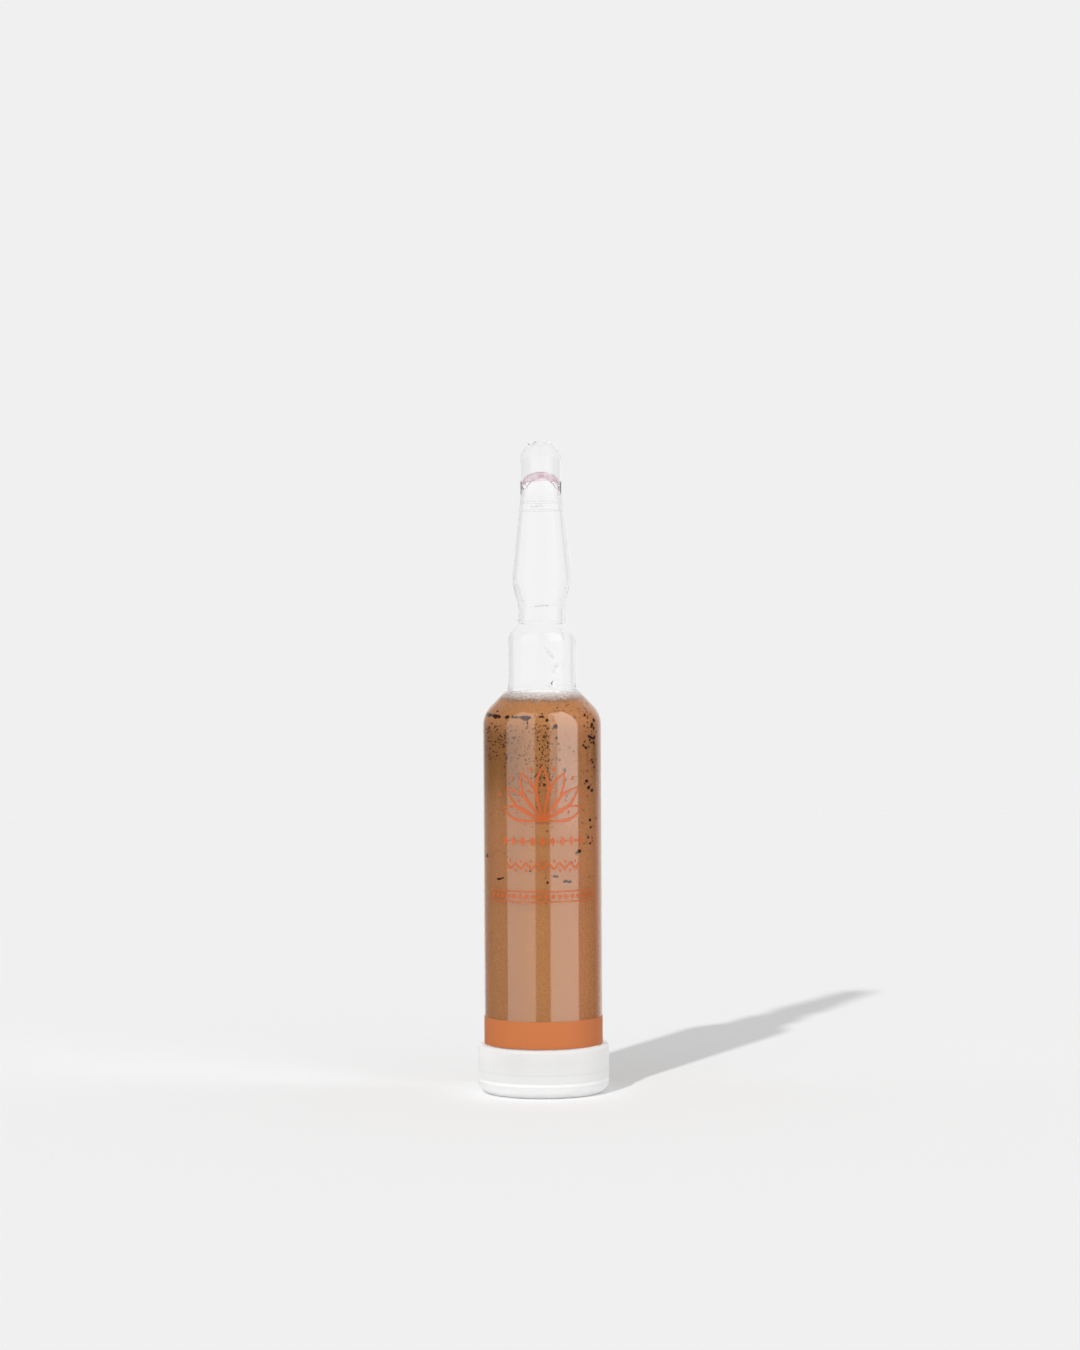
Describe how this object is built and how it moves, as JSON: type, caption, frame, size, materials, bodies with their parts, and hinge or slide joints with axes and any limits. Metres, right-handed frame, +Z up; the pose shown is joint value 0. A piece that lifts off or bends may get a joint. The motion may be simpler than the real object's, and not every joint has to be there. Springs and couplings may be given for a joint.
{
  "type": "glass ampoule",
  "caption": "Sealed clear glass ampoule with a drawn tip and scored neck, brown contents, an orange enamel ring and a translucent foot cap that it stands on.",
  "frame": {"origin": "middle of the flat ring that the foot cap stands on", "axes": "+Z up along the ampoule's axis, from the foot cap to the drawn tip; the score on the neck faces -Y"},
  "size_m": [0.0198, 0.0198, 0.0981],
  "materials": {
    "clear_glass": "clear, fire-polished",
    "cap_plastic": "natural translucent moulding",
    "contents": "thick brown suspension with dark specks",
    "orange_enamel": "matte fired ink"
  },
  "bodies": {
    "root": {"glass_ampoule": "clear_glass", "base_cap": "cap_plastic", "contents": "contents", "enamel_band": "orange_enamel"}
  },
  "joints": []
}
